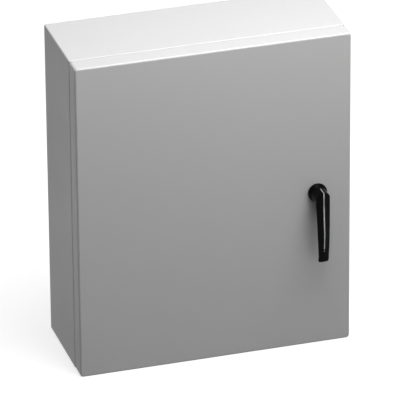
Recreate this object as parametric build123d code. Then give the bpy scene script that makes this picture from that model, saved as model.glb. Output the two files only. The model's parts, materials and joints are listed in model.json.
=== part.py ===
import math
import os
from build123d import *

os.makedirs("parts", exist_ok=True)

# Frame: X to the right, -Y to the front, +Z up, in millimetres.
# The origin is the centre of the wall hole pattern, on the outside of the back wall.
# A station is a distance in front of that back plane, so a station s lies at y = -s.

# Overall size, with the door closed and without the handle
width = 508.0
height = 609.6
depth = 203.2

# Sheet metal of the body
body_sheet = 2.5
body_edge_r = 3.0
body_front_r = 2.0
body_inner_r = 0.5
flange_width = 30.0
collar_length = 27.0
collar_corner_r = 8.0
collar_bend_r = 1.0

# Door
door_sheet = 2.5
door_skirt = 35.0
door_seam = 3.0
door_bend_r = 3.5
door_corner_r = 6.0

# Door gasket
gasket_width = 12.0
gasket_gap = 0.5
gasket_round = 2.5
gasket_hole_r = 5.0

# Wall holes and mounting panel
wall_hole_inset = 25.4
wall_hole_r = 5.55
panel_clearance = 5.6
panel_sheet = 2.5
panel_corner_r = 6.0
panel_standoff = 15.0
panel_edge_to_stud = 15.9
panel_hole_r = 4.6

# Eight millimetre studs, nuts and washers
stud_r = 4.0
stud_base_r = 9.0
stud_base_height = 3.0
stud_collar_r = 6.5
stud_tail = 14.0
nut_flats = 13.0
nut_height = 6.5
washer_r = 8.0
washer_height = 1.6
thread_play = 0.05

# Ground studs
ground_stud_length = 20.0
ground_stud_behind_front = 45.0
ground_stud_above_base = 43.0
door_ground_from_rail = 31.0
door_ground_above_end = 15.0

# Hinges, measured from the hinge axis
hinge_inset = 8.5
hinge_forward = 17.0
hinge_from_end = 150.0
hinge_length = 56.0
hinge_lug = 19.4
hinge_end_play = 0.3
knuckle_r = 3.7
knuckle_side_gap = 0.3
hinge_pin_r = 2.0
hinge_pin_play = 0.05
hinge_pin_head_r = 3.4
hinge_pin_head = 2.0
bracket_foot_sheet = 2.5
bracket_foot_front = 8.0
bracket_foot_back = 14.0
bracket_arm_sheet = 3.0
bracket_fork_reach = 8.0
bracket_screw_back = 8.0
bracket_screw_z = 19.0
bracket_screw_r = 2.5
bracket_screw_head_r = 4.2
bracket_screw_head = 2.0
bracket_screw_tail = 3.0
leaf_front = 14.0
leaf_back = 6.0
leaf_stud_r = 2.0
leaf_stud_front = 9.0
leaf_stud_z = 20.0
leaf_nut_flats = 7.0
leaf_nut_height = 3.0
leaf_stud_tail = 0.5

# Lock rail and hinge side rail on the back of the door
rail_width = 40.0
rail_depth = 34.0
hinge_rail_depth = 20.0
rail_lip = 10.0
rail_sheet = 2.0
rail_bend_r = 3.0
rail_end_gap = 27.5

# Handle position and the parts stacked on its axis
handle_from_edge = 62.7
handle_z = 0.0
rose_r = 17.7
rose_height = 5.0
rose_edge_r = 1.5
rose_seal_r = 17.0
rose_seal = 0.8
rose_screw_r = 2.0
rose_screw_z = 12.5
rose_screw_depth = 3.6
rose_screw_head_r = 3.6
rose_screw_head = 2.4
spindle_r = 7.95
spindle_square = 8.0
spindle_play = 0.05
spindle_in_lever = 16.0
door_hole_r = 9.5
bush_r = 10.95
bush_flange_r = 14.0
bush_front = 4.0
end_play = 0.3
end_thread_r = 3.0
end_nut_flats = 10.0
end_nut_height = 5.0
end_washer_r = 7.0
end_washer_height = 1.2
end_thread_tail = 1.5

# Latch: rack and pinion, tongue, bars and rollers
gear_module = 1.25
pinion_teeth = 16
pressure_angle = 20.0
rack_addendum = 1.05
pinion_addendum = 1.15
gear_dedendum = 1.55
gear_backlash = 0.16
latch_play = 0.5
tongue_thickness = 3.5
tongue_hub_r = 13.0
tongue_reach = 42.0
tongue_width = 22.0
tongue_tip_r = 7.0
bar_gap = 0.5
bar_depth = 10.0
bar_thickness = 6.0
rack_below = 26.0
rack_above = 10.0
bar_end = 5.0
roller_r = 9.0
roller_width = 6.0
roller_edge = 0.8
roller_lip_gap = 2.3
roller_side_gap = 0.3
roller_pin_r = 2.5
roller_pin_play = 0.05
roller_pin_head_r = 4.5
roller_pin_head = 1.5

# Bar guides
guide_wall = 4.0
guide_play = 0.3
guide_length = 16.0
guide_foot_length = 38.0
guide_foot_height = 3.0
guide_to_tongue = 9.0
guide_to_rail_end = 9.0
guide_edge = 1.2
guide_screw_r = 2.0
guide_screw_z = 13.5
guide_screw_head_r = 3.2
guide_screw_head = 2.2
guide_screw_tail = 2.0

# Lever of the handle: each section has its height above the handle axis, half widths at the
# side edges and at the back, and distances from the door face to back, side edge and crease.
lever_sections = [
    (-122.6, 9.8, 7.2, 31.8, 39.0, 41.2),
    (-92.0, 10.8, 7.6, 31.4, 39.8, 43.6),
    (-62.0, 11.8, 8.4, 29.2, 38.6, 44.6),
    (-30.0, 12.6, 9.4, 25.0, 36.6, 42.0),
    (0.0, 13.0, 10.5, 19.0, 34.8, 39.8),
    (17.0, 13.0, 10.5, 19.0, 34.0, 39.0),
]
lever_head_r = 13.2
lever_head_z = 2.4
lever_tip_z = -122.6
lever_tip_half = 11.5
lever_tip_r = 5.5
lever_tip_front_r = 5.0
lever_edge_r = 1.2
lever_ridge_r = 3.5
lever_lip = 3.0
lever_lip_rise = 4.0
neck_foot_r = 16.6
neck_foot_height = 4.0
neck_waist_r = 14.4
neck_top_r = 12.6
neck_top = 31.0

# Places worked out from the sizes above
half_w = width / 2
half_h = height / 2
inner_x = half_w - body_sheet
inner_z = half_h - body_sheet
body_depth = depth - door_skirt - door_seam
flange_rear = body_depth - body_sheet
collar_x = half_w - flange_width
collar_z = half_h - flange_width
collar_tip = body_depth + collar_length
door_inner = depth - door_sheet
hinge_x = -half_w + hinge_inset
hinge_station = body_depth + hinge_forward
hinge_heights = {"upper": half_h - hinge_from_end, "lower": -half_h + hinge_from_end}
mouth_x = collar_x - body_sheet
mouth_z = collar_z - body_sheet
wall_hole_x = half_w - wall_hole_inset
wall_hole_z = half_h - wall_hole_inset
panel_x = mouth_x - panel_clearance
panel_z = mouth_z - panel_clearance
stud_x = panel_x - panel_edge_to_stud
stud_z = panel_z - panel_edge_to_stud
panel_back = body_sheet + panel_standoff
panel_front = panel_back + panel_sheet
ground_stud_station = body_depth - ground_stud_behind_front
ground_stud_z = -half_h + ground_stud_above_base
gasket_mid_x = collar_x - body_sheet / 2
gasket_mid_z = collar_z - body_sheet / 2
handle_x = half_w - handle_from_edge
rail_rear = door_inner - rail_depth
rail_half_length = gasket_mid_z - gasket_width / 2 - rail_end_gap
door_ground_x = -handle_x + rail_width / 2 + door_ground_from_rail
door_ground_z = -rail_half_length + door_ground_above_end
guide_near = tongue_reach + guide_to_tongue + guide_foot_length / 2
guide_far = rail_half_length - guide_to_rail_end - guide_foot_length / 2
rose_top = rose_seal + rose_height
tongue_front = flange_rear - latch_play
tongue_rear = tongue_front - tongue_thickness
bar_front = tongue_rear - bar_gap
bar_rear = bar_front - bar_depth
bar_mid = (bar_front + bar_rear) / 2
pitch_r = gear_module * pinion_teeth / 2
rack_pitch = math.pi * gear_module
bar_inner = pitch_r - rack_addendum
bar_outer = bar_inner + bar_thickness
roller_z = mouth_z - roller_lip_gap - roller_r


def slab(x0, x1, station0, station1, z0, z1):
    """Box between two x values, two stations and two heights."""
    size = (x1 - x0, station1 - station0, z1 - z0)
    return Pos((x0 + x1) / 2, -(station0 + station1) / 2, (z0 + z1) / 2) * Box(*size)


def raise_front(sketch, station0, station1):
    """Extrude a front view sketch, in x and z, from one station forwards to another."""
    return extrude(Plane.XZ.offset(station0) * sketch, station1 - station0)


def disc(r, station0, station1):
    """Round bar along the depth direction, on the frame's axis."""
    return raise_front(Circle(r), station0, station1)


def hexagon(flats, station0, station1, bore_r):
    """Nut along the depth direction, with its bore."""
    outline = RegularPolygon(flats / 2, 6, major_radius=False) - Circle(bore_r)
    return raise_front(outline, station0, station1)


def corners(half_x, half_z):
    """Four places at the corners of a rectangle in the front view."""
    return [Pos(sx * half_x, 0, sz * half_z) for sx in (-1, 1) for sz in (-1, 1)]


def loop(shape, station, half_x, half_z):
    """Edges in the plane of a station, on or inside a rectangle in the front view."""
    near = 0.01
    found = []
    for edge in shape.edges():
        box = edge.bounding_box()
        flat = abs(box.min.Y + station) < near and abs(box.max.Y + station) < near
        inside_x = max(abs(box.min.X), abs(box.max.X)) < half_x + near
        inside_z = max(abs(box.min.Z), abs(box.max.Z)) < half_z + near
        if flat and inside_x and inside_z:
            found.append(edge)
    return found


def save(part, name):
    """Write one sub-part."""
    export_step(part, f"parts/{name}.step")


# Body: a folded and welded box, open at the front, and a frame welded into its mouth. The frame
# has a flange turned in and a collar turned forwards, which make a gutter round the opening.


def enclosure_body():
    outer = slab(-half_w, half_w, 0, body_depth, -half_h, half_h)
    back = outer.edges().group_by(Axis.Y)[-1]
    outer = fillet(outer.edges().filter_by(Axis.Y) + back, body_edge_r)
    outer = fillet(outer.edges().group_by(Axis.Y)[0], body_front_r)
    cavity = RectangleRounded(2 * inner_x, 2 * inner_z, body_inner_r)
    shell = outer - raise_front(cavity, body_sheet, body_depth)
    for place in corners(wall_hole_x, wall_hole_z):
        shell -= place * disc(wall_hole_r, 0, body_sheet)
    return shell


def front_frame():
    flange = RectangleRounded(2 * inner_x, 2 * inner_z, body_inner_r)
    collar = RectangleRounded(2 * collar_x, 2 * collar_z, collar_corner_r)
    mouth = RectangleRounded(2 * mouth_x, 2 * mouth_z, collar_corner_r - body_sheet)
    frame = raise_front(flange, flange_rear, body_depth)
    frame += raise_front(collar, flange_rear, collar_tip)
    frame -= raise_front(mouth, flange_rear, collar_tip)
    frame = fillet(loop(frame, body_depth, collar_x, collar_z), collar_bend_r)
    frame = fillet(loop(frame, flange_rear, mouth_x, mouth_z), collar_bend_r + body_sheet)
    for z in hinge_heights.values():
        for dz in (-bracket_screw_z, bracket_screw_z):
            reach = bracket_foot_sheet + body_sheet + bracket_screw_tail
            hole = Cylinder(bracket_screw_r + thread_play, 2 * reach, rotation=(0, 90, 0))
            frame -= Pos(-collar_x, -hinge_station + bracket_screw_back, z + dz) * hole
    return frame


def mounting_panel():
    sheet = RectangleRounded(2 * panel_x, 2 * panel_z, panel_corner_r)
    panel = raise_front(sheet, panel_back, panel_front)
    for place in corners(stud_x, stud_z):
        panel -= place * disc(panel_hole_r, panel_back, panel_front)
    return panel


def collar_stud():
    """Stud with a weld base and a collar that holds the panel off the back wall."""
    base = disc(stud_base_r, body_sheet, body_sheet + stud_base_height)
    collar = disc(stud_collar_r, body_sheet + stud_base_height, panel_back)
    thread = disc(stud_r, panel_back, panel_front + stud_tail)
    tip = thread.edges().group_by(Axis.Y)[0]
    return base + collar + chamfer(tip, 1)


def nut_and_washer(seat):
    """Nut over a washer on an eight millimetre stud, both in front of a seat station."""
    washer = disc(washer_r, seat, seat + washer_height)
    washer -= disc(stud_r + thread_play, seat, seat + washer_height)
    nut = hexagon(nut_flats, seat + washer_height, seat + washer_height + nut_height,
                  stud_r + thread_play)
    return nut, washer


def ground_stud():
    """Stud on the inside of the right hand wall, pointing into the cavity."""
    stud = disc(stud_base_r, 0, stud_base_height) + disc(stud_r, 0, ground_stud_length)
    return stud


def to_right_wall(part):
    """Turn a part that points forwards so that it points left from the right hand wall."""
    return Pos(inner_x, -ground_stud_station, ground_stud_z) * Rot(0, 0, -90) * part


# Hinges: the bracket reaches from the collar to the axis, the leaf sits on the door's skirt.


def hinge_place(z):
    return Pos(hinge_x, -hinge_station, z)


def hinge_bracket():
    """Fork on a foot plate, with its axis on the frame's origin."""
    foot_x = collar_gap()
    foot = slab(foot_x - bracket_foot_sheet, foot_x, -bracket_foot_back, bracket_foot_front,
                -hinge_length / 2, hinge_length / 2)
    half_arm = bracket_arm_sheet / 2
    arm = slab(0, foot_x, -half_arm, half_arm, -hinge_length / 2, hinge_length / 2)
    barrel = Cylinder(knuckle_r, hinge_length)
    bracket = foot + arm + barrel
    slot_half = hinge_lug / 2 + hinge_end_play
    bracket -= slab(-knuckle_r, bracket_fork_reach, -knuckle_r, knuckle_r, -slot_half, slot_half)
    bracket -= Cylinder(hinge_pin_r + hinge_pin_play, hinge_length)
    for dz in (-bracket_screw_z, bracket_screw_z):
        hole = Cylinder(bracket_screw_r + thread_play, 2 * bracket_foot_sheet, rotation=(0, 90, 0))
        bracket -= Pos(foot_x, bracket_screw_back, dz) * hole
    return bracket


def collar_gap():
    """Distance from the hinge axis to the outside of the collar."""
    return -collar_x - hinge_x


def hinge_leaf():
    """Plate on the inside of the skirt, with one lug that turns on the pin."""
    outer = door_sheet - hinge_inset
    inner = -(knuckle_r + knuckle_side_gap)
    plate = slab(outer, inner, -leaf_back, leaf_front, -hinge_length / 2, hinge_length / 2)
    lug = slab((outer + inner) / 2, 0, -knuckle_r, knuckle_r, -hinge_lug / 2, hinge_lug / 2)
    lug += Cylinder(knuckle_r, hinge_lug)
    leaf = plate + lug - Cylinder(hinge_pin_r + hinge_pin_play, hinge_lug)
    for dz in (-leaf_stud_z, leaf_stud_z):
        hole = Cylinder(leaf_stud_r + thread_play, 4 * hinge_inset, rotation=(0, 90, 0))
        leaf -= Pos(outer, -leaf_stud_front, dz) * hole
    return leaf


def hinge_pin():
    shank = Cylinder(hinge_pin_r, hinge_length)
    shank = chamfer(shank.edges().group_by(Axis.Z)[0], hinge_pin_r / 4)
    head = Cylinder(hinge_pin_head_r, hinge_pin_head)
    head = chamfer(head.edges().group_by(Axis.Z)[-1], hinge_pin_head / 2)
    return shank + Pos(0, 0, (hinge_length + hinge_pin_head) / 2) * head


def bracket_screw():
    """Screw along X through the foot and the collar, its head towards the hinge axis."""
    foot_x = collar_gap()
    head_x = foot_x - bracket_foot_sheet
    tail_x = foot_x + body_sheet + bracket_screw_tail
    head = Cylinder(bracket_screw_head_r, bracket_screw_head, rotation=(0, 90, 0))
    shank = Cylinder(bracket_screw_r, tail_x - head_x, rotation=(0, 90, 0))
    return Pos(head_x - bracket_screw_head / 2) * head + Pos((head_x + tail_x) / 2) * shank


def leaf_stud():
    """Weld stud along X, on the inside of the skirt."""
    start = door_sheet - hinge_inset
    end = -(knuckle_r + knuckle_side_gap) + leaf_nut_height + leaf_stud_tail
    return Pos((start + end) / 2) * Cylinder(leaf_stud_r, end - start, rotation=(0, 90, 0))


def leaf_nut():
    start = -(knuckle_r + knuckle_side_gap)
    outline = RegularPolygon(leaf_nut_flats / 2, 6, major_radius=False)
    nut = extrude(Plane.YZ * (outline - Circle(leaf_stud_r + thread_play)), leaf_nut_height)
    return Pos(start) * nut


def on_each_hinge(piece, station_offset, half_z):
    """Two copies on each hinge, in front of the axis by an offset."""
    copies = []
    for z in hinge_heights.values():
        for dz in (-half_z, half_z):
            copies.append(hinge_place(z) * Pos(0, -station_offset, dz) * piece)
    return Compound(children=copies)


# Door: a tray folded from one sheet, with a foam gasket and two lipped rails on its back.


def door_shell():
    def tray(half_x, half_z, front, rear, corner_r, bend_r):
        block = raise_front(RectangleRounded(2 * half_x, 2 * half_z, corner_r), rear, front)
        return fillet(block.edges().group_by(Axis.Y)[0], bend_r)

    rear = depth - door_skirt
    shell = tray(half_w, half_h, depth, rear, door_corner_r, door_bend_r)
    shell -= tray(half_w - door_sheet, half_h - door_sheet, door_inner, rear,
                  door_corner_r - door_sheet, door_bend_r - door_sheet)
    axis = Pos(handle_x, 0, handle_z)
    shell -= axis * disc(door_hole_r, door_inner, depth)
    for dz in (-rose_screw_z, rose_screw_z):
        shell -= axis * Pos(0, 0, dz) * disc(rose_screw_r + thread_play, door_inner, depth)
    return shell


def door_gasket():
    half = gasket_width / 2
    outer_x = gasket_mid_x + half
    outer_z = gasket_mid_z + half
    outer = RectangleRounded(2 * outer_x, 2 * outer_z, collar_corner_r + half)
    hole = RectangleRounded(2 * (gasket_mid_x - half), 2 * (gasket_mid_z - half), gasket_hole_r)
    strip = raise_front(outer - hole, collar_tip + gasket_gap, door_inner)
    return fillet(strip.edges().group_by(Axis.Y)[-1], gasket_round)


def lipped_rail(centre_x, rail_d):
    """Channel with lips turned in, standing on the back of the door."""
    rear = door_inner - rail_d
    outer = RectangleRounded(rail_width, rail_d, rail_bend_r)
    hollow = RectangleRounded(rail_width - 2 * rail_sheet, rail_d - 2 * rail_sheet,
                              rail_bend_r - rail_sheet)
    mouth = Pos(0, -rail_d / 2) * Rectangle(rail_width - 2 * rail_lip, 4 * rail_sheet)
    section = Plane.XY.offset(-rail_half_length) * (outer - hollow - mouth)
    rail = extrude(section, 2 * rail_half_length)
    return Pos(centre_x, -(door_inner + rear) / 2) * rail


def lock_rail():
    rail = lipped_rail(handle_x, rail_depth)
    web = rail_rear + rail_sheet
    axis = Pos(handle_x, 0, handle_z)
    rail -= axis * disc(bush_r + thread_play, rail_rear, web)
    for place in guide_places():
        for dz in (-guide_screw_z, guide_screw_z):
            rail -= place * Pos(0, 0, dz) * disc(guide_screw_r + thread_play, rail_rear, web)
    return rail


def guide_places():
    """Middle of each bar guide: two on the upper bar, two on the lower bar."""
    side = (bar_inner + bar_outer) / 2
    upper = [Pos(handle_x - side, 0, z) for z in (guide_near, guide_far)]
    lower = [Pos(handle_x + side, 0, -z) for z in (guide_near, guide_far)]
    return upper + lower


def bar_guide():
    """Block that a bar slides through, on a foot that screws to the lock rail."""
    half_x = bar_thickness / 2 + guide_wall
    top = bar_rear - guide_play - guide_wall
    foot_top = rail_rear - guide_foot_height
    tower = slab(-half_x, half_x, top, rail_rear, -guide_length / 2, guide_length / 2)
    tower = chamfer(tower.edges().group_by(Axis.Y)[-1], guide_edge)
    foot_half = guide_foot_length / 2
    foot = slab(-half_x, half_x, foot_top, rail_rear, -foot_half, foot_half)
    foot = fillet(foot.edges().filter_by(Axis.Y), guide_wall)
    guide = tower + foot
    slot_x = bar_thickness / 2 + guide_play
    guide -= slab(-slot_x, slot_x, bar_rear - guide_play, bar_front + guide_play,
                  -guide_length, guide_length)
    for dz in (-guide_screw_z, guide_screw_z):
        guide -= Pos(0, 0, dz) * disc(guide_screw_r + thread_play, foot_top, rail_rear)
    return guide


def guide_screw():
    foot_top = rail_rear - guide_foot_height
    shank = disc(guide_screw_r, foot_top, rail_rear + rail_sheet + guide_screw_tail)
    head = disc(guide_screw_head_r, foot_top - guide_screw_head, foot_top)
    return shank + chamfer(head.edges().group_by(Axis.Y)[-1], guide_screw_head / 3)


# Handle: rose, lever and spindle on one axis through the door.


def handle_rose():
    ring = disc(rose_r, depth + rose_seal, depth + rose_top)
    ring = fillet(ring.edges().group_by(Axis.Y)[0], rose_edge_r)
    ring -= disc(spindle_r + spindle_play, depth, depth + rose_top)
    for dz in (-rose_screw_z, rose_screw_z):
        top = depth + rose_seal + rose_screw_depth
        ring -= Pos(0, 0, dz) * disc(rose_screw_r + thread_play, depth, top)
    return ring


def rose_gasket():
    ring = disc(rose_seal_r, depth, depth + rose_seal) - disc(door_hole_r, depth, depth + rose_seal)
    for dz in (-rose_screw_z, rose_screw_z):
        ring -= Pos(0, 0, dz) * disc(rose_screw_r + thread_play, depth, depth + rose_seal)
    return ring


def rose_screw():
    shank = disc(rose_screw_r, door_inner, depth + rose_seal + rose_screw_depth)
    return shank + disc(rose_screw_head_r, door_inner - rose_screw_head, door_inner)


def lever_section(z, half_side, half_back, back, edge, crease):
    """Five sided section of the lever: a narrow back, two side edges and a front crease."""
    outline = Polyline((-half_back, -back), (-half_side, -edge), (0, -crease),
                       (half_side, -edge), (half_back, -back), close=True)
    return Plane.XY.offset(z) * make_face(outline)


def lever_outline():
    """Front view that rounds the head and the tip's corners and clears the blade's sides."""
    blade = Polygon((-lever_head_r, lever_head_z), (-lever_tip_half, lever_tip_z),
                    (lever_tip_half, lever_tip_z), (lever_head_r, lever_head_z), align=None)
    blade = fillet(blade.vertices().group_by(Axis.Y)[0], lever_tip_r)
    return blade + Pos(0, lever_head_z) * Circle(lever_head_r)


def lever_long_edges(blade):
    """Edges from head to tip, from the front ones to the back ones."""
    longest = max(edge.length for edge in blade.edges())
    return blade.edges().filter_by(lambda edge: edge.length > longest / 2).sort_by(Axis.Y)


def lever_blade():
    """Blade with a rounded ridge, soft edges, a rounded tip and a finger lip at its back."""
    blade = loft([lever_section(*row) for row in lever_sections])
    tip = blade.faces().sort_by(Axis.Z)[0]
    blade = fillet(tip.edges().sort_by(Axis.Y)[:2], lever_tip_front_r)
    blade = fillet(lever_long_edges(blade)[0], lever_ridge_r)
    blade = fillet(lever_long_edges(blade)[2:], lever_edge_r)
    tip_z, _, half_back, back, edge, _ = lever_sections[0]
    blade += slab(-half_back, half_back, back - lever_lip_rise, (back + edge) / 2,
                  tip_z, tip_z + lever_lip)
    reach = max(row[5] for row in lever_sections)
    return blade & raise_front(lever_outline(), 0, 2 * reach)


def handle_lever():
    foot = rose_top + end_play
    half_neck = Polyline((0, foot), (neck_foot_r, foot), (neck_waist_r, foot + neck_foot_height),
                         (neck_top_r, neck_top), (0, neck_top), close=True)
    neck = revolve(Plane.XY * mirror(make_face(half_neck), Plane.XZ), Axis.Y)
    lever = Pos(0, -depth) * (lever_blade() + neck)
    square = spindle_square + 2 * spindle_play
    socket = Rectangle(square, square)
    lever -= raise_front(socket, depth, depth + rose_top + spindle_in_lever + end_play)
    return lever


def latch_spindle():
    square = Rectangle(spindle_square, spindle_square)
    spindle = disc(spindle_r, tongue_front, depth + rose_top)
    spindle += raise_front(square, bar_rear, depth + rose_top + spindle_in_lever)
    end = bar_rear - end_washer_height - end_nut_height - end_thread_tail
    return spindle + disc(end_thread_r, end, bar_rear)


def spindle_washer():
    rear = bar_rear - end_washer_height
    return disc(end_washer_r, rear, bar_rear) - disc(end_thread_r + thread_play, rear, bar_rear)


def spindle_nut():
    front = bar_rear - end_washer_height
    return hexagon(end_nut_flats, front - end_nut_height, front, end_thread_r + thread_play)


def spindle_bush():
    """Flanged bush that carries the spindle in the lock rail."""
    rear = tongue_front + end_play
    bush = disc(bush_flange_r, rear, rail_rear)
    bush += disc(bush_r, rail_rear, rail_rear + rail_sheet + bush_front)
    return bush - disc(spindle_r + spindle_play, rear, rail_rear + rail_sheet + bush_front)


# Latch: the pinion on the spindle drives two racks, and the tongue swings behind the flange.


def pinion_outline():
    base_r = pitch_r * math.cos(math.radians(pressure_angle))
    root_r = pitch_r - gear_dedendum
    tip_r = pitch_r + pinion_addendum
    half_pitch_angle = math.pi / (2 * pinion_teeth) - gear_backlash / (2 * pitch_r)

    def involute(angle):
        return math.tan(angle) - angle

    def flank(r, side):
        """Point of one flank of the tooth that points along X, at a radius."""
        roll = math.acos(min(1.0, base_r / r))
        lean = half_pitch_angle + involute(math.radians(pressure_angle)) - involute(roll)
        return (r * math.cos(lean), side * r * math.sin(lean))

    def root(side):
        lean = math.atan2(flank(base_r, 1)[1], flank(base_r, 1)[0])
        return (root_r * math.cos(lean) / 2, side * root_r * math.sin(lean))

    middle_r = (base_r + tip_r) / 2
    edges = [
        Line(root(-1), flank(base_r, -1)),
        ThreePointArc(flank(base_r, -1), flank(middle_r, -1), flank(tip_r, -1)),
        ThreePointArc(flank(tip_r, -1), (tip_r, 0), flank(tip_r, 1)),
        ThreePointArc(flank(tip_r, 1), flank(middle_r, 1), flank(base_r, 1)),
        Line(flank(base_r, 1), root(1)),
        Line(root(1), root(-1)),
    ]
    tooth = make_face(edges)
    outline = Circle(root_r)
    for i in range(pinion_teeth):
        outline += Rot(0, 0, 360 * i / pinion_teeth) * tooth
    return outline


def latch_pinion():
    square = spindle_square + 2 * spindle_play
    outline = pinion_outline() - Rectangle(square, square)
    return raise_front(outline, bar_rear, tongue_rear)


def latch_tongue():
    square = spindle_square + 2 * spindle_play
    arm = Pos(0, tongue_reach / 2) * Rectangle(tongue_width, tongue_reach)
    arm = fillet(arm.vertices().group_by(Axis.Y)[-1], tongue_tip_r)
    outline = arm + Circle(tongue_hub_r) - Rectangle(square, square)
    return raise_front(outline, tongue_rear, tongue_front)


def rack_bar():
    """Upper bar, left of the pinion, in its own place on the handle axis."""
    tip = roller_z + bar_end
    bar = Pos(-(bar_inner + bar_outer) / 2, (tip - rack_below) / 2)
    outline = bar * Rectangle(bar_thickness, tip + rack_below)
    lean = math.tan(math.radians(pressure_angle))
    half_gap = rack_pitch / 4 + gear_backlash / 2
    wide = half_gap + (rack_addendum + bar_gap) * lean
    narrow = half_gap - gear_dedendum * lean
    tip_x = -pitch_r + rack_addendum + bar_gap
    root_x = -pitch_r - gear_dedendum
    gap = Polygon((tip_x, -wide), (tip_x, wide), (root_x, narrow), (root_x, -narrow), align=None)
    first = -int(rack_below / rack_pitch)
    last = int(rack_above / rack_pitch)
    for i in range(first, last + 1):
        outline -= Pos(0, i * rack_pitch) * gap
    bar = raise_front(outline, bar_rear, bar_front)
    bar = fillet(bar.edges().filter_by(Axis.X).group_by(Axis.Z)[-1], bar_end - 1)
    hole = Cylinder(roller_pin_r + roller_pin_play, 4 * bar_outer, rotation=(0, 90, 0))
    return bar - Pos(0, -bar_mid, roller_z) * hole


def roller():
    """Roller on the inner side of the upper bar."""
    middle = -bar_inner + roller_side_gap + roller_width / 2
    wheel = Cylinder(roller_r, roller_width, rotation=(0, 90, 0))
    wheel = chamfer(wheel.edges(), roller_edge)
    wheel -= Cylinder(roller_pin_r + roller_pin_play, roller_width, rotation=(0, 90, 0))
    return Pos(middle, -bar_mid, roller_z) * wheel


def roller_pin():
    inner = -bar_inner + 2 * roller_side_gap + roller_width
    shank = Cylinder(roller_pin_r, inner + bar_outer, rotation=(0, 90, 0))
    head = Cylinder(roller_pin_head_r, roller_pin_head, rotation=(0, 90, 0))
    pin = Pos((inner - bar_outer) / 2) * shank + Pos(inner + roller_pin_head / 2) * head
    return Pos(0, -bar_mid, roller_z) * pin


def main():
    save(enclosure_body(), "enclosure_body")
    save(front_frame(), "front_frame")
    save(mounting_panel(), "mounting_panel")
    places = corners(stud_x, stud_z)
    nut, washer = nut_and_washer(panel_front)
    save(Compound(children=[place * collar_stud() for place in places]), "panel_studs")
    save(Compound(children=[place * nut for place in places]), "panel_nuts")
    save(Compound(children=[place * washer for place in places]), "panel_washers")
    ground_nut, ground_washer = nut_and_washer(stud_base_height)
    save(to_right_wall(ground_stud()), "ground_stud")
    save(to_right_wall(ground_nut), "ground_nut")
    save(to_right_wall(ground_washer), "ground_washer")

    for side, z in hinge_heights.items():
        save(hinge_place(z) * hinge_bracket(), f"hinge_bracket_{side}")
        save(hinge_place(z) * hinge_pin(), f"hinge_pin_{side}")
        save(hinge_place(z) * hinge_leaf(), f"hinge_leaf_{side}")
    save(on_each_hinge(bracket_screw(), -bracket_screw_back, bracket_screw_z), "hinge_bracket_screws")
    save(on_each_hinge(leaf_stud(), leaf_stud_front, leaf_stud_z), "hinge_leaf_studs")
    save(on_each_hinge(leaf_nut(), leaf_stud_front, leaf_stud_z), "hinge_leaf_nuts")

    save(door_shell(), "door_shell")
    save(door_gasket(), "door_gasket")
    save(lock_rail(), "lock_rail")
    save(lipped_rail(-handle_x, hinge_rail_depth), "hinge_side_rail")
    door_back = Pos(door_ground_x, -door_inner, door_ground_z) * Rot(0, 0, 180)
    save(door_back * ground_stud(), "door_ground_stud")
    guides = [place * bar_guide() for place in guide_places()]
    save(Compound(children=guides), "bar_guides")
    screws = []
    for place in guide_places():
        for dz in (-guide_screw_z, guide_screw_z):
            screws.append(place * Pos(0, 0, dz) * guide_screw())
    save(Compound(children=screws), "guide_screws")

    axis = Pos(handle_x, 0, handle_z)
    save(axis * handle_rose(), "handle_rose")
    save(axis * rose_gasket(), "rose_gasket")
    rose_screws = [axis * Pos(0, 0, dz) * rose_screw() for dz in (-rose_screw_z, rose_screw_z)]
    save(Compound(children=rose_screws), "rose_screws")
    save(axis * spindle_bush(), "spindle_bush")
    save(axis * handle_lever(), "handle_lever")
    save(axis * latch_spindle(), "latch_spindle")
    save(axis * latch_tongue(), "latch_tongue")
    save(axis * latch_pinion(), "latch_pinion")
    save(axis * spindle_washer(), "spindle_washer")
    save(axis * spindle_nut(), "spindle_nut")

    for side, half_turn in (("upper", Pos(0, 0, 0)), ("lower", Rot(0, 180, 0))):
        save(axis * half_turn * rack_bar(), f"{side}_bar")
        save(axis * half_turn * roller(), f"{side}_roller")
        save(axis * half_turn * roller_pin(), f"{side}_roller_pin")


main()
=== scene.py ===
import json
import math

import bmesh
import bpy
from mathutils import Matrix, Vector, noise

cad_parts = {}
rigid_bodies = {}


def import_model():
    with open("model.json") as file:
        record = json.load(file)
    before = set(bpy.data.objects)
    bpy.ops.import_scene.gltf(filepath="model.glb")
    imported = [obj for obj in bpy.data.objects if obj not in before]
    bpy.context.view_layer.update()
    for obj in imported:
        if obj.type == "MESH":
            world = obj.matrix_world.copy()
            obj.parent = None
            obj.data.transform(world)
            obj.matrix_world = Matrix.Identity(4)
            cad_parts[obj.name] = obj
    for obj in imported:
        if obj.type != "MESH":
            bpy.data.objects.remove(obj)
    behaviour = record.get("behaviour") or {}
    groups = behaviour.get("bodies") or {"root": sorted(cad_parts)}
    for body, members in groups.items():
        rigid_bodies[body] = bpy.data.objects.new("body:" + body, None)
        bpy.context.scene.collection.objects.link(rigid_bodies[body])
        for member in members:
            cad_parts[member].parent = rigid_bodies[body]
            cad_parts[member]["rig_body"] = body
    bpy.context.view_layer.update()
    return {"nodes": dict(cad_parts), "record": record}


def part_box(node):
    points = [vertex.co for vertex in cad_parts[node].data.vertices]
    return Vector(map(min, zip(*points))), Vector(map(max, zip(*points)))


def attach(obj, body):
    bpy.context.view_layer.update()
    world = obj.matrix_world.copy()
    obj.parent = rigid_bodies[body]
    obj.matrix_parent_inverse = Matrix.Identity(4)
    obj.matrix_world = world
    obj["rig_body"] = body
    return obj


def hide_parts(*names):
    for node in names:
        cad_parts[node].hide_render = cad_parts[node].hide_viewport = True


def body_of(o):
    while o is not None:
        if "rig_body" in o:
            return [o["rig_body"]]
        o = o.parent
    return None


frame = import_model()
nodes = frame["nodes"]

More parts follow.
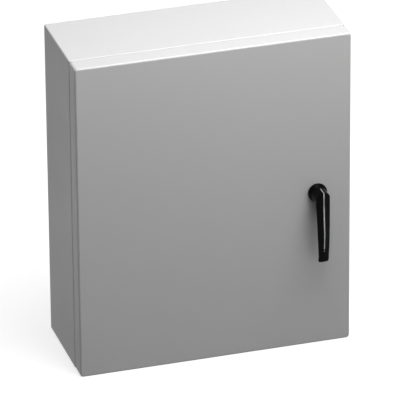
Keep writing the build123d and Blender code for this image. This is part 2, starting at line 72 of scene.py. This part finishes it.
# Camera, fitted to the box's corners in the photograph
CAMERA_AZIMUTH = -16.66
CAMERA_ELEVATION = 26.46
CAMERA_ROLL = -0.49
CAMERA_DISTANCE = 9.27
CAMERA_RIGHT = 0.0025
CAMERA_UP = -0.0314
CAMERA_LENS = 464.0
CAMERA_SENSOR = 36.0
CAMERA_CLIP = (0.1, 100.0)

# Colours, as linear values
GREY_FINISH = (0.50, 0.50, 0.50)
PANEL_WHITE = (0.80, 0.80, 0.78)
ZINC = (0.60, 0.60, 0.58)
STAINLESS = (0.63, 0.62, 0.60)
HANDLE_BLACK = (0.0010, 0.0010, 0.0011)
FOAM_BLACK = (0.018, 0.018, 0.019)
NYLON_BLACK = (0.02, 0.02, 0.021)
BRONZE = (0.50, 0.33, 0.15)
# Colour of the painted highlight line on the lever's ridge
RIDGE_HIGHLIGHT_COLOUR = (0.72, 0.72, 0.73)
# Colour of the painted highlight lines along the bends
BEND_HIGHLIGHT_COLOUR = (0.85, 0.85, 0.85)

# Noise values that count as low and as high, and sockets of the mix node for colours
NOISE_RANGE = (0.3, 0.7)
MIX_FACTOR, MIX_FIRST, MIX_SECOND, MIX_RESULT = 0, 6, 7, 2

# Painted highlight line along the lever's ridge and over its head, in metres
RIDGE_HIGHLIGHT_HALF_WIDTH = 0.0013
RIDGE_HIGHLIGHT_DEPTH = 0.0062
RIDGE_HIGHLIGHT_START = 0.0112
RIDGE_HIGHLIGHT_TOP = 0.0135
RIDGE_HIGHLIGHT_HEAD_SHARE = 0.45
RIDGE_HIGHLIGHT_END = -0.093
RIDGE_HIGHLIGHT_DOT = -0.0985
RIDGE_HIGHLIGHT_DOT_HALF = 0.0009
RIDGE_HIGHLIGHT_SOFT = 0.001
RIDGE_HIGHLIGHT_END_SOFT = 0.002

# Painted highlight lines along the body's front bend and the door's top bend
EDGE_IN = 0.0010
EDGE_HALF_WIDTH = 0.0020
EDGE_TOP_SHARE = 0.20
EDGE_SIDE_SHARE = 0.08
EDGE_TOP_FULL = 0.001
EDGE_TOP_NONE = 0.004
RIM_IN = 0.0015
RIM_HALF_WIDTH = 0.0013
RIM_SHARE = 0.15

# Fasteners, in metres
ROUND_SEGMENTS = 48
THREAD_ROWS = 6
THREAD_DEPTH = 0.61
THREAD_PLAY = 0.00005
M4_R = 0.002
M5_R = 0.0025
M6_R = 0.003
M8_R = 0.004
COARSE_PITCH = {M8_R: 0.00125, M6_R: 0.001, M5_R: 0.0008, M4_R: 0.0007}
STUD_BASE = 0.003
STUD_COLLAR_R = 0.0065
STUD_SHOULDER = 0.015
STUD_EDGE = 0.0006
NUT_SINK = 0.0005
NUT_FACE_SHARE = 0.95
NUT_CHAMFER = math.pi / 6
NUT_STEPS = 4
WASHER_EDGE = 0.0002
SOCKET_DEPTH = 0.55
SOCKET_FLATS = 0.42
SOCKET_CONE = 0.12
HEAD_CROWN = 0.45
HEAD_STEPS = 7
HEAD_TOP_SHARE = 0.6
HEAD_RIM_SHARE = 0.58
SOCKET_TIP_SHARE = 0.05

# Foam gaskets, in metres and steps
GASKET_HALF = 0.006
GASKET_CORNER = 0.010
GASKET_STEP = 0.012
GASKET_CORNER_STEPS = 8
GASKET_SIDES = 18
GASKET_SQUARE = 0.55
GASKET_DENT = 0.0005
GASKET_DENT_HALF = 0.0017
GASKET_WAVE = 0.00015
GASKET_WAVE_SCALE = 30.0
FOAM_SHARP = 60.0
ROSE_HOLE_R = 0.0095
ROSE_BULGE = 0.0002

# Floor and sky
FLOOR_GAP = 0.0002
FLOOR_REACH = 12.0
FLOOR_COLOUR = (0.5, 0.5, 0.5)
FLOOR_BOUNCE = (0.05, 0.05, 0.05)
FLOOR_GLOW = 0.72
FLOOR_FADE_START = 0.9
FLOOR_FADE_END = 3.0
SKY_LEVEL = 0.24

# Lamps: name, place, target, side in metres and power in watts
LAMPS = [
    ("overhead", (0.3, -0.6, 1.5), (0.1, -0.1, 0.2), 1.2, 34.5),
    ("left_fill", (-2.2, -0.9, 1.4), (-0.2, -0.1, 0.1), 1.6, 2.4),
    ("front_fill", (0.7, -3.1, 0.3), (0.05, -0.2, -0.05), 1.6, 13.2),
    ("back_fill", (-0.4, 3.2, 0.8), (0.0, 0.0, 0.0), 1.8, 24.0),
]


def box_of(*names):
    """Lowest and highest corners of several nodes together."""
    boxes = [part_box(name) for name in names]
    low = Vector(min(b[0][i] for b in boxes) for i in range(3))
    high = Vector(max(b[1][i] for b in boxes) for i in range(3))
    return low, high


BOX_LOW, BOX_HIGH = box_of("enclosure_body", "door_shell")
CENTRE = (BOX_LOW + BOX_HIGH) / 2


def add_node(tree, kind, **settings):
    node = tree.nodes.new(kind)
    for key, value in settings.items():
        setattr(node, key, value)
    return node


class Shader:
    """A node material that is built step by step."""

    def __init__(self, name, colour, roughness, metallic=0.0):
        self.material = bpy.data.materials.new(name)
        self.material.use_nodes = True
        self.tree = self.material.node_tree
        self.principled = self.tree.nodes["Principled BSDF"]
        self.principled.inputs["Base Color"].default_value = (*colour, 1.0)
        self.principled.inputs["Roughness"].default_value = roughness
        self.principled.inputs["Metallic"].default_value = metallic
        self.colour = colour
        self.roughness = roughness
        self.place = self.add("ShaderNodeTexCoord").outputs["Object"]

    def add(self, kind, **settings):
        return add_node(self.tree, kind, **settings)

    def link(self, output, node_input):
        self.tree.links.new(output, node_input)

    def noise(self, scale, detail=2.0, stretch=(1.0, 1.0, 1.0)):
        """Noise over the object's own coordinates, with features of about 1 / scale metres."""
        mapping = self.add("ShaderNodeMapping")
        mapping.inputs["Scale"].default_value = stretch
        texture = self.add("ShaderNodeTexNoise")
        texture.inputs["Scale"].default_value = scale
        texture.inputs["Detail"].default_value = detail
        self.link(self.place, mapping.inputs["Vector"])
        self.link(mapping.outputs["Vector"], texture.inputs["Vector"])
        return texture.outputs["Fac"]

    def ramp(self, value, low, high):
        """Map a noise value onto a narrow range of numbers."""
        spread = self.add("ShaderNodeMapRange")
        spread.inputs["From Min"].default_value, spread.inputs["From Max"].default_value = NOISE_RANGE
        spread.inputs["To Min"].default_value = low
        spread.inputs["To Max"].default_value = high
        self.link(value, spread.inputs["Value"])
        return spread.outputs["Result"]

    def mottle(self, value, amount):
        """Vary the base colour by a share either way."""
        dark = tuple(c * (1 - amount) for c in self.colour)
        light = tuple(min(1.0, c * (1 + amount)) for c in self.colour)
        mix = self.add("ShaderNodeMix", data_type="RGBA")
        mix.inputs[MIX_FIRST].default_value = (*dark, 1.0)
        mix.inputs[MIX_SECOND].default_value = (*light, 1.0)
        self.link(self.ramp(value, 0.0, 1.0), mix.inputs[MIX_FACTOR])
        self.link(mix.outputs[MIX_RESULT], self.principled.inputs["Base Color"])

    def scuff(self, value, amount):
        """Vary the roughness by an amount either way."""
        low = max(0.02, self.roughness - amount)
        high = min(1.0, self.roughness + amount)
        self.link(self.ramp(value, low, high), self.principled.inputs["Roughness"])

    def axes(self):
        """The object's own x, y and z at each point."""
        apart = self.add("ShaderNodeSeparateXYZ")
        self.link(self.place, apart.inputs[0])
        return apart.outputs

    def fade(self, value, start, end):
        """One up to the first value and nought past the second."""
        step = self.add("ShaderNodeMapRange", interpolation_type="SMOOTHSTEP")
        step.inputs["From Min"].default_value = start
        step.inputs["From Max"].default_value = end
        step.inputs["To Min"].default_value = 1.0
        step.inputs["To Max"].default_value = 0.0
        self.link(value, step.inputs["Value"])
        return step.outputs["Result"]

    def combine(self, operation, first, second):
        """Result of a math operation on two values, where each may be a number."""
        node = self.add("ShaderNodeMath", operation=operation)
        for value, node_input in ((first, node.inputs[0]), (second, node.inputs[1])):
            if isinstance(value, float):
                node_input.default_value = value
            else:
                self.link(value, node_input)
        return node.outputs[0]

    def band(self, value, middle, half_width):
        """One near a middle value and nought past half a width from it."""
        aside = self.combine("ABSOLUTE", self.combine("SUBTRACT", value, middle), 0.0)
        return self.fade(aside, half_width * 0.5, half_width)

    def paint(self, mask, colour):
        """Mix the base colour towards another where a mask is one."""
        mix = self.add("ShaderNodeMix", data_type="RGBA")
        old = self.principled.inputs["Base Color"].links[0].from_socket
        self.link(old, mix.inputs[MIX_FIRST])
        mix.inputs[MIX_SECOND].default_value = (*colour, 1.0)
        self.link(mask, mix.inputs[MIX_FACTOR])
        self.link(mix.outputs[MIX_RESULT], self.principled.inputs["Base Color"])

    def bump(self, value, depth, strength=1.0):
        """Raise the surface by a noise value times a depth in metres."""
        node = self.add("ShaderNodeBump")
        node.inputs["Strength"].default_value = strength
        node.inputs["Distance"].default_value = depth
        self.link(value, node.inputs["Height"])
        self.link(node.outputs["Normal"], self.principled.inputs["Normal"])


def grey_finish():
    s = Shader("grey_finish", GREY_FINISH, 0.46)
    s.mottle(s.noise(3.0, 3.0), 0.012)
    # Painted highlight lines along the body's front bend and the door's top bend
    painted_bend_highlight(s)
    s.scuff(s.noise(9.0, 3.0), 0.03)
    s.bump(s.noise(1400.0, 2.0), 0.00003, 0.35)
    return s.material


def panel_white():
    s = Shader("panel_white", PANEL_WHITE, 0.42)
    s.mottle(s.noise(4.0, 2.0), 0.01)
    s.bump(s.noise(900.0, 2.0), 0.00004, 0.4)
    return s.material


def zinc_plate():
    s = Shader("zinc_plate", ZINC, 0.34, 1.0)
    s.mottle(s.noise(220.0, 3.0), 0.08)
    s.scuff(s.noise(350.0, 2.0), 0.08)
    return s.material


def stainless():
    s = Shader("stainless", STAINLESS, 0.3, 1.0)
    s.mottle(s.noise(60.0, 3.0, (1.0, 1.0, 18.0)), 0.06)
    s.bump(s.noise(500.0, 2.0, (1.0, 1.0, 12.0)), 0.00002, 0.3)
    return s.material


def gloss_black():
    s = Shader("gloss_black", HANDLE_BLACK, 0.16)
    s.principled.inputs["Specular IOR Level"].default_value = 0.04
    s.scuff(s.noise(80.0, 3.0), 0.04)
    s.mottle(s.noise(60.0, 2.0), 0.1)
    s.bump(s.noise(700.0, 2.0), 0.00002, 0.25)
    # Painted highlight line on the lever's ridge and head
    painted_ridge_highlight(s)
    return s.material


def painted_ridge_highlight(s):
    """Painted highlight: a bright line along the lever's ridge and over its head, standing in for a
    reflection.
    """
    x, y, z = s.axes()
    lever_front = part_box("handle_lever")[0].y
    rose_low, rose_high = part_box("handle_rose")
    line = s.band(x, (rose_low.x + rose_high.x) / 2, RIDGE_HIGHLIGHT_HALF_WIDTH)
    front = s.fade(y, lever_front + RIDGE_HIGHLIGHT_DEPTH, lever_front + RIDGE_HIGHLIGHT_DEPTH + RIDGE_HIGHLIGHT_SOFT)
    start_y = rose_low.y - RIDGE_HIGHLIGHT_START
    head = s.combine("MULTIPLY", s.fade(z, RIDGE_HIGHLIGHT_TOP, RIDGE_HIGHLIGHT_TOP - RIDGE_HIGHLIGHT_SOFT), RIDGE_HIGHLIGHT_HEAD_SHARE)
    head = s.combine("MULTIPLY", head, s.fade(y, start_y, start_y + RIDGE_HIGHLIGHT_SOFT))
    run = s.fade(z, RIDGE_HIGHLIGHT_END, RIDGE_HIGHLIGHT_END - RIDGE_HIGHLIGHT_END_SOFT)
    down = s.combine("MAXIMUM", run, s.band(z, RIDGE_HIGHLIGHT_DOT, RIDGE_HIGHLIGHT_DOT_HALF))
    where = s.combine("MULTIPLY", s.combine("MAXIMUM", front, head), down)
    broken = s.ramp(s.noise(260.0, 2.0, (1.0, 1.0, 0.25)), 0.45, 1.0)
    s.paint(s.combine("MULTIPLY", s.combine("MULTIPLY", line, where), broken), RIDGE_HIGHLIGHT_COLOUR)


def painted_bend_highlight(s):
    """Painted highlight: paler colour along bends, the body's front, and the door's at the top."""
    _, y, z = s.axes()
    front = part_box("enclosure_body")[0].y
    line = s.band(y, front + EDGE_IN, EDGE_HALF_WIDTH)
    top = s.fade(z, BOX_HIGH.z - EDGE_TOP_FULL, BOX_HIGH.z - EDGE_TOP_NONE)
    share = s.combine("MAXIMUM", s.combine("MULTIPLY", top, EDGE_TOP_SHARE), EDGE_SIDE_SHARE)
    rim = s.band(y, BOX_LOW.y + RIM_IN, RIM_HALF_WIDTH)
    rim = s.combine("MULTIPLY", s.combine("MULTIPLY", rim, top), RIM_SHARE)
    s.paint(s.combine("MAXIMUM", s.combine("MULTIPLY", line, share), rim), BEND_HIGHLIGHT_COLOUR)


def foam():
    s = Shader("foam", FOAM_BLACK, 0.85)
    s.mottle(s.noise(400.0, 2.0), 0.25)
    s.bump(s.noise(1200.0, 3.0), 0.0002, 0.7)
    return s.material


def nylon():
    s = Shader("nylon", NYLON_BLACK, 0.5)
    s.mottle(s.noise(300.0, 2.0), 0.15)
    s.bump(s.noise(1500.0, 2.0), 0.00004, 0.5)
    return s.material


def bronze():
    s = Shader("bronze", BRONZE, 0.4, 1.0)
    s.mottle(s.noise(500.0, 3.0), 0.15)
    return s.material


FINISHES = {
    "body_aluminium": grey_finish(),
    "panel_steel": panel_white(),
    "zinc_steel": zinc_plate(),
    "stainless": stainless(),
    "black_diecast": gloss_black(),
    "gasket_foam": foam(),
    "black_nylon": nylon(),
    "bronze_bush": bronze(),
}


def dress_nodes():
    """Give each CAD node the finish of its slot."""
    for part in frame["record"]["subparts"]:
        node = nodes[part["node"]]
        node.data.materials.clear()
        node.data.materials.append(FINISHES[part["material_slot"]])


def solids_of(node):
    """Boxes of the separate solids in a CAD node, in a fixed order."""
    work = bmesh.new()
    work.from_mesh(nodes[node].data)
    bmesh.ops.remove_doubles(work, verts=work.verts, dist=1e-6)
    work.verts.index_update()
    seen = set()
    boxes = []
    for first in work.verts:
        if first.index in seen:
            continue
        seen.add(first.index)
        todo = [first]
        found = []
        while todo:
            vert = todo.pop()
            found.append(vert.co.copy())
            for edge in vert.link_edges:
                other = edge.other_vert(vert)
                if other.index not in seen:
                    seen.add(other.index)
                    todo.append(other)
        low = Vector(min(c[i] for c in found) for i in range(3))
        high = Vector(max(c[i] for c in found) for i in range(3))
        boxes.append((low, high))
    work.free()
    return sorted(boxes, key=lambda b: tuple(round(c, 6) for c in b[0]))


def finish_piece(work, name, node, sharp=35.0):
    """Turn a bmesh into a piece that stands for a CAD node, on its body and in its finish."""
    bmesh.ops.recalc_face_normals(work, faces=work.faces)
    mesh = bpy.data.meshes.new(name)
    work.to_mesh(mesh)
    work.free()
    for face in mesh.polygons:
        face.use_smooth = True
    mesh.set_sharp_from_angle(angle=math.radians(sharp))
    piece = bpy.data.objects.new(name, mesh)
    bpy.context.scene.collection.objects.link(piece)
    slots = {part["node"]: part["material_slot"] for part in frame["record"]["subparts"]}
    mesh.materials.append(FINISHES[slots[node]])
    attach(piece, body_of(nodes[node])[0])
    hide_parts(node)
    return piece


def join_loops(work, loops, closed):
    """Quads between loops of the same number of points, each closed in itself."""
    pairs = list(zip(loops, loops[1:]))
    if closed:
        pairs.append((loops[-1], loops[0]))
    for one, two in pairs:
        for i in range(len(one)):
            j = (i + 1) % len(one)
            work.faces.new((one[i], one[j], two[j], two[i]))


def skin(work, start, axis, rings, closed=False):
    """Join rings round an axis. A ring is a height and a radius, or a radius by angle."""
    side = Vector((0.0, 0.0, 1.0))
    across = side.cross(axis)
    loops = []
    for height, radius in rings:
        loop = []
        for i in range(ROUND_SEGMENTS):
            angle = 2 * math.pi * i / ROUND_SEGMENTS
            reach = radius(angle) if callable(radius) else radius
            out = across * math.cos(angle) + side * math.sin(angle)
            loop.append(work.verts.new(start + axis * height + out * reach))
        loops.append(loop)
    if not closed:
        work.faces.new(loops[0])
        work.faces.new(loops[-1])
    join_loops(work, loops, closed)


def hexagon(flats, corner_angle=0.0):
    """Radius of a hexagon, by angle."""
    def radius(angle):
        part = (angle - corner_angle) % (math.pi / 3) - math.pi / 6
        return flats / 2 / math.cos(part)
    return radius


def thread_rings(start, end, radius):
    """Rings of a rolled right hand thread that runs out at its start and has a chamfered end."""
    pitch = COARSE_PITCH[radius]
    depth = THREAD_DEPTH * pitch
    rows = round((end - start) / pitch * THREAD_ROWS)
    rings = []
    for k in range(rows + 1):
        height = start + (end - start) * k / rows
        limit = radius - max(0.0, height - (end - depth))
        fade = min(1.0, (height - start) / pitch)

        def reach(angle, height=height, limit=limit, fade=fade):
            turn = (height / pitch - angle / (2 * math.pi)) % 1.0
            return min(limit, radius - depth * fade * (1.0 - abs(2.0 * turn - 1.0)))
        rings.append((height, reach))
    return rings


def span(low, high, axis):
    """Start and length of a box along a signed axis, and its half widths across and along z."""
    across = Vector((0.0, 0.0, 1.0)).cross(axis)
    size = high - low
    length = abs(size.dot(axis))
    return (low + high) / 2 - axis * length / 2, length, abs(size.dot(across)) / 2, size.z / 2


def stud(work, box, axis, shoulder=None):
    """Weld stud: a base, a collar where there is a shoulder, and a threaded end."""
    start, length, base_r, _ = span(*box, axis)
    rings = [(0.0, base_r), (STUD_BASE - STUD_EDGE, base_r), (STUD_BASE, base_r - STUD_EDGE)]
    foot = STUD_BASE
    if shoulder:
        rings += [(STUD_BASE, STUD_COLLAR_R + STUD_EDGE), (STUD_BASE + STUD_EDGE, STUD_COLLAR_R)]
        rings += [(shoulder - STUD_EDGE / 2, STUD_COLLAR_R), (shoulder, STUD_COLLAR_R - STUD_EDGE / 2)]
        foot = shoulder
    rings += thread_rings(foot, length, M8_R)
    skin(work, start, axis, rings)


def plain_stud(work, box, axis, radius):
    """Short stud that is threaded from end to end."""
    start, length, _, _ = span(*box, axis)
    skin(work, start, axis, thread_rings(0.0, length, radius))


def nut(work, box, axis, radius):
    """Hexagon nut with its corners chamfered on both faces and a countersunk bore."""
    start, height, across, along = span(*box, axis)
    flats = 2 * min(across, along)
    corner = flats / 2 / math.cos(math.pi / 6)
    face_r = NUT_FACE_SHARE * flats / 2
    outline = hexagon(flats, 0.0 if across > along else math.pi / 6)
    steps = [k / NUT_STEPS for k in range(NUT_STEPS + 1)]

    def within(share):
        limit = face_r + (corner - face_r) * share
        return lambda angle: min(outline(angle), limit)

    rise = (corner - face_r) * math.tan(NUT_CHAMFER)
    rings = [(rise * share, within(share)) for share in steps]
    rings += [(height - rise * share, within(share)) for share in reversed(steps)]
    bore = radius + THREAD_PLAY
    rings += [(height, bore + NUT_SINK), (height - NUT_SINK, bore)]
    rings += [(NUT_SINK, bore), (0.0, bore + NUT_SINK)]
    skin(work, start, axis, rings, closed=True)


def washer(work, box, axis, radius):
    """Flat washer with its stamped edges just broken."""
    start, height, outer, _ = span(*box, axis)
    bore = radius + THREAD_PLAY
    edge = WASHER_EDGE
    rings = [(0.0, bore), (0.0, outer - edge), (edge, outer), (height - edge, outer)]
    rings += [(height, outer - edge), (height, bore)]
    skin(work, start, axis, rings, closed=True)


def socket_screw(work, box, axis, radius, head):
    """Screw with a crowned head and a hexagon socket, threaded to its tip."""
    start, length, head_r, _ = span(*box, axis)
    seat = length - head
    rings = [(seat - height, lambda angle, reach=reach: reach(-angle))
             for height, reach in reversed(thread_rings(0.0, seat, radius))]
    rings += [(seat, head_r - WASHER_EDGE), (seat + WASHER_EDGE, head_r)]
    flank = head * (1 - HEAD_CROWN)
    for k in range(HEAD_STEPS):
        lean = math.pi / 2 * k / HEAD_STEPS
        rings.append((seat + flank + head * HEAD_CROWN * math.sin(lean),
                      head_r * (HEAD_TOP_SHARE + (1 - HEAD_TOP_SHARE) * math.cos(lean))))
    socket = hexagon(2 * head_r * SOCKET_FLATS)
    floor_at = length - head * SOCKET_DEPTH
    rings += [(length, head_r * HEAD_RIM_SHARE), (length, socket), (floor_at, socket)]
    rings.append((floor_at - head_r * SOCKET_CONE, head_r * SOCKET_TIP_SHARE))
    skin(work, start, axis, rings)


FRONT = Vector((0.0, -1.0, 0.0))
REAR = Vector((0.0, 1.0, 0.0))
LEFT = Vector((-1.0, 0.0, 0.0))
RIGHT = Vector((1.0, 0.0, 0.0))

# Node, maker of one copy, direction from its foot to its tip, and the maker's own values
FASTENERS = [
    ("panel_studs", stud, FRONT, {"shoulder": STUD_SHOULDER}),
    ("ground_stud", stud, LEFT, {}),
    ("door_ground_stud", stud, REAR, {}),
    ("hinge_leaf_studs", plain_stud, RIGHT, {"radius": M4_R}),
    ("panel_nuts", nut, FRONT, {"radius": M8_R}),
    ("ground_nut", nut, LEFT, {"radius": M8_R}),
    ("hinge_leaf_nuts", nut, RIGHT, {"radius": M4_R}),
    ("spindle_nut", nut, REAR, {"radius": M6_R}),
    ("panel_washers", washer, FRONT, {"radius": M8_R}),
    ("ground_washer", washer, LEFT, {"radius": M8_R}),
    ("spindle_washer", washer, REAR, {"radius": M6_R}),
    ("guide_screws", socket_screw, REAR, {"radius": M4_R, "head": 0.0022}),
    ("rose_screws", socket_screw, REAR, {"radius": M4_R, "head": 0.0024}),
    ("hinge_bracket_screws", socket_screw, LEFT, {"radius": M5_R, "head": 0.002}),
]


def fasteners():
    for node, maker, axis, values in FASTENERS:
        work = bmesh.new()
        for box in solids_of(node):
            maker(work, box, axis, **values)
        finish_piece(work, node + "_detail", node)


def rounded_path(half_x, half_z, corner, step):
    """Points and outward directions along a rounded rectangle in the front view."""
    path = []
    for turn in range(4):
        start = turn * math.pi / 2
        sign_x = 1 if turn in (0, 3) else -1
        sign_z = 1 if turn in (0, 1) else -1
        middle = Vector((sign_x * (half_x - corner), 0.0, sign_z * (half_z - corner)))
        for k in range(GASKET_CORNER_STEPS + 1):
            angle = start + math.pi / 2 * k / GASKET_CORNER_STEPS
            out = Vector((math.cos(angle), 0.0, math.sin(angle)))
            path.append((middle + out * corner, out))
        run = 2 * ((half_x if turn in (0, 2) else half_z) - corner)
        along = Vector((-math.sin(start + math.pi / 2), 0.0, math.cos(start + math.pi / 2)))
        last, out = path[-1]
        count = int(run / step)
        for k in range(1, count):
            path.append((last + along * run * k / count, out))
    return path


def door_gasket():
    """Poured foam strip: a crowned bead with a faint wave and the collar's mark along it."""
    low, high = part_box("door_gasket")
    half_x = (high.x - low.x) / 2 - GASKET_HALF
    half_z = (high.z - low.z) / 2 - GASKET_HALF
    middle = (low + high) / 2
    rise = high.y - low.y
    work = bmesh.new()
    loops = []
    for place, out in rounded_path(half_x, half_z, GASKET_CORNER, GASKET_STEP):
        wave = GASKET_WAVE * (noise.noise(place * GASKET_WAVE_SCALE) - 1.0)
        loop = []
        for k in range(GASKET_SIDES + 1):
            lean = math.pi * k / GASKET_SIDES
            aside = math.copysign(abs(math.cos(lean)) ** GASKET_SQUARE, math.cos(lean)) * GASKET_HALF
            up = max(0.0, math.sin(lean)) ** GASKET_SQUARE
            dent = GASKET_DENT * math.exp(-((aside / GASKET_DENT_HALF) ** 4))
            y = low.y + (rise + wave - dent) * up
            loop.append(work.verts.new(Vector((middle.x, y, middle.z)) + place + out * aside))
        loops.append(loop)
    join_loops(work, loops, closed=True)
    finish_piece(work, "door_gasket_foam", "door_gasket", FOAM_SHARP)


def rose_gasket():
    """Flat foam ring under the rose, squeezed so that its edge bulges."""
    start, height, outer, _ = span(*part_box("rose_gasket"), FRONT)
    rings = [(0.0, ROSE_HOLE_R), (0.0, outer - ROSE_BULGE), (height / 4, outer - ROSE_BULGE / 4)]
    rings += [(height / 2, outer), (height * 3 / 4, outer - ROSE_BULGE / 4)]
    rings += [(height, outer - ROSE_BULGE), (height, ROSE_HOLE_R)]
    work = bmesh.new()
    skin(work, start, FRONT, rings, closed=True)
    finish_piece(work, "rose_gasket_foam", "rose_gasket", FOAM_SHARP)


def camera():
    azimuth = math.radians(CAMERA_AZIMUTH)
    elevation = math.radians(CAMERA_ELEVATION)
    roll = math.radians(CAMERA_ROLL)
    level = math.cos(elevation)
    back = Vector((math.sin(azimuth) * level, -math.cos(azimuth) * level, math.sin(elevation)))
    flat_right = Vector((math.cos(azimuth), math.sin(azimuth), 0.0))
    flat_up = back.cross(flat_right)
    right = flat_right * math.cos(roll) + flat_up * math.sin(roll)
    up = flat_up * math.cos(roll) - flat_right * math.sin(roll)
    data = bpy.data.cameras.new("camera")
    data.sensor_width = CAMERA_SENSOR
    data.lens = CAMERA_LENS
    data.clip_start, data.clip_end = CAMERA_CLIP
    eye = bpy.data.objects.new("camera", data)
    turn = Matrix((right, up, back)).transposed().to_4x4()
    place = CENTRE + back * CAMERA_DISTANCE + flat_right * CAMERA_RIGHT + flat_up * CAMERA_UP
    eye.matrix_world = Matrix.Translation(place) @ turn
    bpy.context.scene.collection.objects.link(eye)
    bpy.context.scene.camera = eye


def area_lamp(name, place, target, side, power):
    data = bpy.data.lights.new(name, "AREA")
    data.shape = "SQUARE"
    data.size = side
    data.energy = power
    lamp = bpy.data.objects.new(name, data)
    aim = Vector(target) - Vector(place)
    lamp.matrix_world = Matrix.Translation(place) @ aim.to_track_quat("-Z", "Y").to_matrix().to_4x4()
    bpy.context.scene.collection.objects.link(lamp)


def lights():
    for lamp in LAMPS:
        area_lamp(*lamp)


def background_rays(tree):
    """One for a ray from the camera, off a gloss or through glass, and nought for light."""
    path = add_node(tree, "ShaderNodeLightPath")
    first = add_node(tree, "ShaderNodeMath", operation="MAXIMUM")
    both = add_node(tree, "ShaderNodeMath", operation="MAXIMUM")
    tree.links.new(path.outputs["Is Camera Ray"], first.inputs[0])
    tree.links.new(path.outputs["Is Glossy Ray"], first.inputs[1])
    tree.links.new(first.outputs[0], both.inputs[0])
    tree.links.new(path.outputs["Is Transmission Ray"], both.inputs[1])
    return both.outputs[0]


def world():
    """Even soft light, and plain white where a view goes past the floor."""
    studio = bpy.data.worlds.new("studio")
    bpy.context.scene.world = studio
    studio.use_nodes = True
    tree = studio.node_tree
    tree.nodes.clear()
    soft = add_node(tree, "ShaderNodeBackground")
    soft.inputs["Strength"].default_value = SKY_LEVEL
    white = add_node(tree, "ShaderNodeBackground")
    mix = add_node(tree, "ShaderNodeMixShader")
    out = add_node(tree, "ShaderNodeOutputWorld")
    tree.links.new(background_rays(tree), mix.inputs["Fac"])
    tree.links.new(soft.outputs[0], mix.inputs[1])
    tree.links.new(white.outputs[0], mix.inputs[2])
    tree.links.new(mix.outputs[0], out.inputs["Surface"])


def floor():
    """Pale floor with the object's shadow, plain white further off, and a softer bounce."""
    level = BOX_LOW.z - FLOOR_GAP
    edge = FLOOR_REACH
    mesh = bpy.data.meshes.new("floor")
    square = [(-edge, -edge, level), (edge, -edge, level), (edge, edge, level), (-edge, edge, level)]
    mesh.from_pydata(square, [], [(0, 1, 2, 3)])
    plane = bpy.data.objects.new("floor", mesh)
    bpy.context.scene.collection.objects.link(plane)
    material = bpy.data.materials.new("floor")
    material.use_nodes = True
    tree = material.node_tree
    tree.nodes.clear()
    bounce = add_node(tree, "ShaderNodeBsdfDiffuse")
    bounce.inputs["Color"].default_value = (*FLOOR_BOUNCE, 1.0)
    seen = add_node(tree, "ShaderNodeBsdfDiffuse")
    seen.inputs["Color"].default_value = (*FLOOR_COLOUR, 1.0)
    glow = add_node(tree, "ShaderNodeEmission")
    glow.inputs["Strength"].default_value = FLOOR_GLOW
    bright = add_node(tree, "ShaderNodeAddShader")
    place = add_node(tree, "ShaderNodeTexCoord")
    reach = add_node(tree, "ShaderNodeVectorMath", operation="LENGTH")
    fade = add_node(tree, "ShaderNodeMapRange", interpolation_type="SMOOTHSTEP")
    fade.inputs["From Min"].default_value = FLOOR_FADE_START
    fade.inputs["From Max"].default_value = FLOOR_FADE_END
    white = add_node(tree, "ShaderNodeEmission")
    far = add_node(tree, "ShaderNodeMixShader")
    mix = add_node(tree, "ShaderNodeMixShader")
    out = add_node(tree, "ShaderNodeOutputMaterial")
    tree.links.new(seen.outputs[0], bright.inputs[0])
    tree.links.new(glow.outputs[0], bright.inputs[1])
    tree.links.new(place.outputs["Object"], reach.inputs[0])
    tree.links.new(reach.outputs["Value"], fade.inputs["Value"])
    tree.links.new(fade.outputs["Result"], far.inputs["Fac"])
    tree.links.new(bright.outputs[0], far.inputs[1])
    tree.links.new(white.outputs[0], far.inputs[2])
    tree.links.new(background_rays(tree), mix.inputs["Fac"])
    tree.links.new(bounce.outputs[0], mix.inputs[1])
    tree.links.new(far.outputs[0], mix.inputs[2])
    tree.links.new(mix.outputs[0], out.inputs["Surface"])
    mesh.materials.append(material)


dress_nodes()
fasteners()
door_gasket()
rose_gasket()
floor()
world()
lights()
camera()
bpy.context.scene.view_settings.view_transform = "Standard"
